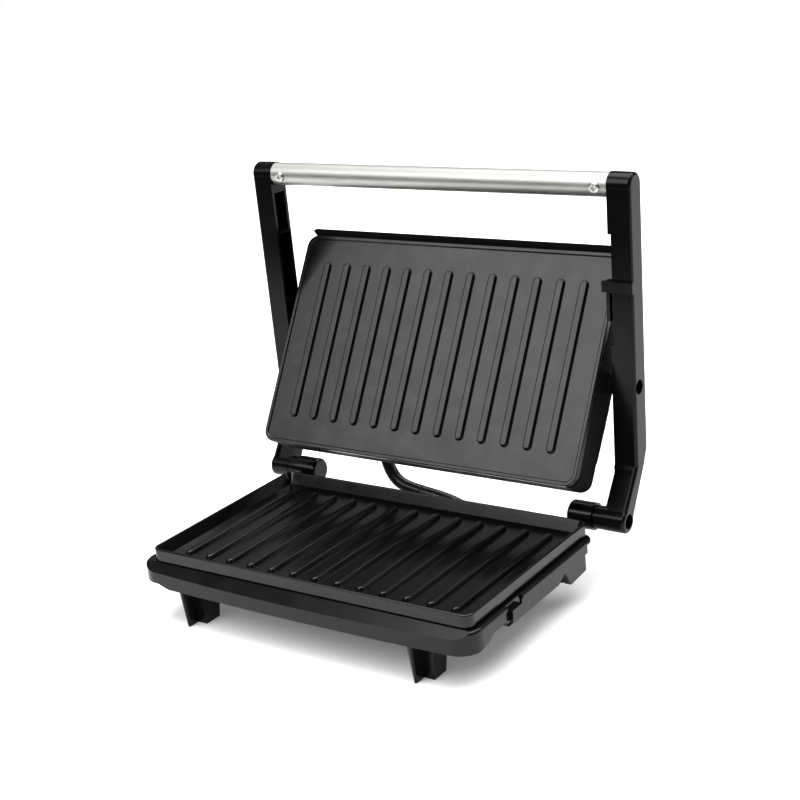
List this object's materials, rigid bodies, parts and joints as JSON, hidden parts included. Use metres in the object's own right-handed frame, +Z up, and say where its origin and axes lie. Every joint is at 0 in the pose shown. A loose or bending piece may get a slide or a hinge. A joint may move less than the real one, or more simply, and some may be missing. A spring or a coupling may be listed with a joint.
{
  "type": "panini press",
  "caption": "Open table-top panini press: ribbed lower tray on a base with feet, tilting ribbed lid hung in a hinged bail handle with a brushed bar.",
  "frame": {"origin": "on the table under the middle of the open press's box", "axes": "+X to the right, +Y to the hinge at the back, +Z up"},
  "size_m": [0.2768, 0.2223, 0.2527],
  "materials": {
    "black_plastic": "satin black moulded plastic",
    "satin_plastic": "black moulded plastic with a fine grain",
    "coated_steel": "sheet steel with a matt black coating",
    "nonstick_plate": "dark non-stick coating on cast aluminium",
    "brushed_bar": "brushed tube",
    "zinc_screw": "zinc plated",
    "dark_steel": "blackened steel",
    "heater_tube": "oxidised tube",
    "reflector_sheet": "bright sheet",
    "gland_rubber": "matt black",
    "conduit_sleeve": "semi-gloss dark sleeve",
    "wire_sleeve": "woven glass-fibre sleeve",
    "bare_metal": "plain metal",
    "white_plastic": "plain",
    "lamp_glass": "clear",
    "red_lens": "tinted",
    "green_lens": "tinted"
  },
  "bodies": {
    "base": {"base_housing": "black_plastic", "base_bottom_cover": "coated_steel", "lower_grill_plate": "nonstick_plate", "lower_heating_element": "heater_tube", "lower_reflector": "reflector_sheet", "thermostat": "bare_metal", "lower_thermal_fuse": "bare_metal", "terminal_block": "white_plastic", "front_foot_left": "black_plastic", "front_foot_right": "black_plastic", "rear_foot_left": "black_plastic", "rear_foot_right": "black_plastic", "cover_screws": "zinc_screw", "lower_plate_screws": "zinc_screw", "front_foot_screws": "zinc_screw", "rear_foot_screws": "zinc_screw", "mains_cord_gland": "gland_rubber", "conduit_gland_base": "gland_rubber", "base_wiring": "wire_sleeve", "conduit": "conduit_sleeve", "hinge_pin_left": "dark_steel", "hinge_pin_right": "dark_steel"},
    "handle": {"arm_left": "black_plastic", "arm_right": "black_plastic", "handle_bar": "brushed_bar", "bar_screws": "zinc_screw", "lid_pivot_pin_left": "dark_steel", "lid_pivot_pin_right": "dark_steel"},
    "latch": {"latch_clip": "black_plastic"},
    "lid": {"lid_housing": "satin_plastic", "upper_grill_plate": "nonstick_plate", "upper_heating_element": "heater_tube", "upper_reflector": "reflector_sheet", "upper_thermal_fuse": "bare_metal", "upper_plate_screws": "zinc_screw", "indicator_lens_red": "red_lens", "indicator_lens_green": "green_lens", "indicator_lamps": "lamp_glass", "conduit_gland_lid": "gland_rubber", "lid_wiring": "wire_sleeve"}
  },
  "joints": [
    {"name": "handle_hinge", "type": "hinge", "parent": "base", "child": "handle", "pos_m": [0, 0.05006, 0.0435], "axis": [1, 0, 0], "range_deg": [0, 81.8], "deforming": ["conduit"]},
    {"name": "lid_tilt", "type": "hinge", "parent": "handle", "child": "lid", "pos_m": [0, 0.06906, 0.1235], "axis": [1, 0, 0], "range_deg": [0, 39.5], "deforming": ["conduit"]},
    {"name": "latch_slide", "type": "slide", "parent": "handle", "child": "latch", "axis": [-0.0135, 0, -0.9999], "range_m": [0, 0.03]}
  ],
  "couplings": [
    {"joint": "lid_tilt", "follows": "handle_hinge", "ratio": 0.48166}
  ]
}
